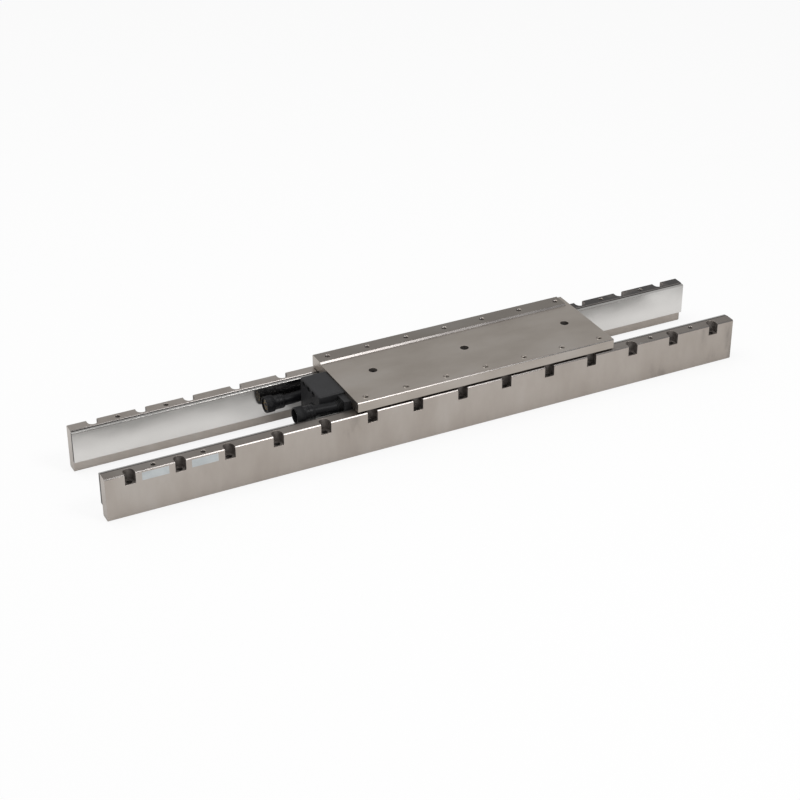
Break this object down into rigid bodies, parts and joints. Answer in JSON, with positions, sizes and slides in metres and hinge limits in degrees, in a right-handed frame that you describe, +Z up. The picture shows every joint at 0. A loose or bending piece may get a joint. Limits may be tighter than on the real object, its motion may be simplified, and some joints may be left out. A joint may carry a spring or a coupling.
{
  "type": "linear motor",
  "caption": "Double-sided iron-core linear motor: a coil unit under a drilled mounting plate slides between straight magnet tracks that stand side by side.",
  "frame": {"origin": "midway between the two tracks at the middle of their length, on the plane of their undersides", "axes": "+X along the tracks, the way the mover travels when its joint value grows, away from its leads; +Y from the near track to the far track; +Z up"},
  "size_m": [0.756, 0.12, 0.065],
  "materials": {
    "ground_steel": "satin, ground and plated",
    "stainless_sheet": "bright rolled sheet",
    "magnet": "nickel plated",
    "gap_resin": "cast",
    "plate_aluminium": "satin, hard anodised",
    "core_steel": "stacked sheet",
    "bar_aluminium": "as milled",
    "plain_steel": "as milled",
    "screw_steel": "blackened",
    "liner": "thin insulating sheet",
    "enamelled_copper": "enamelled wire",
    "sensor_body": "moulded",
    "potting_resin": "cast, slightly glossy",
    "end_cap": "moulded",
    "block_plastic": "fine grained",
    "circuit_board": "lacquered",
    "sleeving": "shrunk sleeving",
    "gland_rubber": "moulded",
    "lead_jacket": "satin jacket",
    "plug_shell": "satin",
    "insert_plastic": "moulded",
    "contact_brass": "gold flashed",
    "socket_plastic": "moulded"
  },
  "bodies": {
    "tracks": {"near_yoke": "ground_steel", "near_magnet_cover": "stainless_sheet", "near_magnets_north": "magnet", "near_magnets_south": "magnet", "near_gap_resin": "gap_resin", "far_yoke": "ground_steel", "far_magnet_cover": "stainless_sheet", "far_magnets_north": "magnet", "far_magnets_south": "magnet", "far_gap_resin": "gap_resin"},
    "mover": {"mounting_plate": "plate_aluminium", "coil_core": "core_steel", "core_spacer_bar": "bar_aluminium", "core_tie_bar": "plain_steel", "clamp_screws": "screw_steel", "tooth_liners": "liner", "windings_u": "enamelled_copper", "windings_v": "enamelled_copper", "windings_w": "enamelled_copper", "thermal_protector": "sensor_body", "coil_potting": "potting_resin", "right_end_cap": "end_cap", "terminal_block": "block_plastic", "block_screws": "screw_steel", "terminal_board": "circuit_board", "lead_splices": "sleeving", "hall_sensors": "sensor_body", "power_gland": "gland_rubber", "power_lead": "lead_jacket", "power_plug_shell": "plug_shell", "power_plug_insert": "insert_plastic", "power_plug_pins": "contact_brass", "signal_gland": "gland_rubber", "signal_lead": "lead_jacket", "signal_plug_hood": "plug_shell", "signal_plug_face": "plug_shell", "signal_plug_insert": "socket_plastic"}
  },
  "joints": [
    {"name": "coil_slide", "type": "slide", "parent": "tracks", "child": "mover", "axis": [1, 0, 0], "range_m": [-0.281, 0.16]}
  ]
}
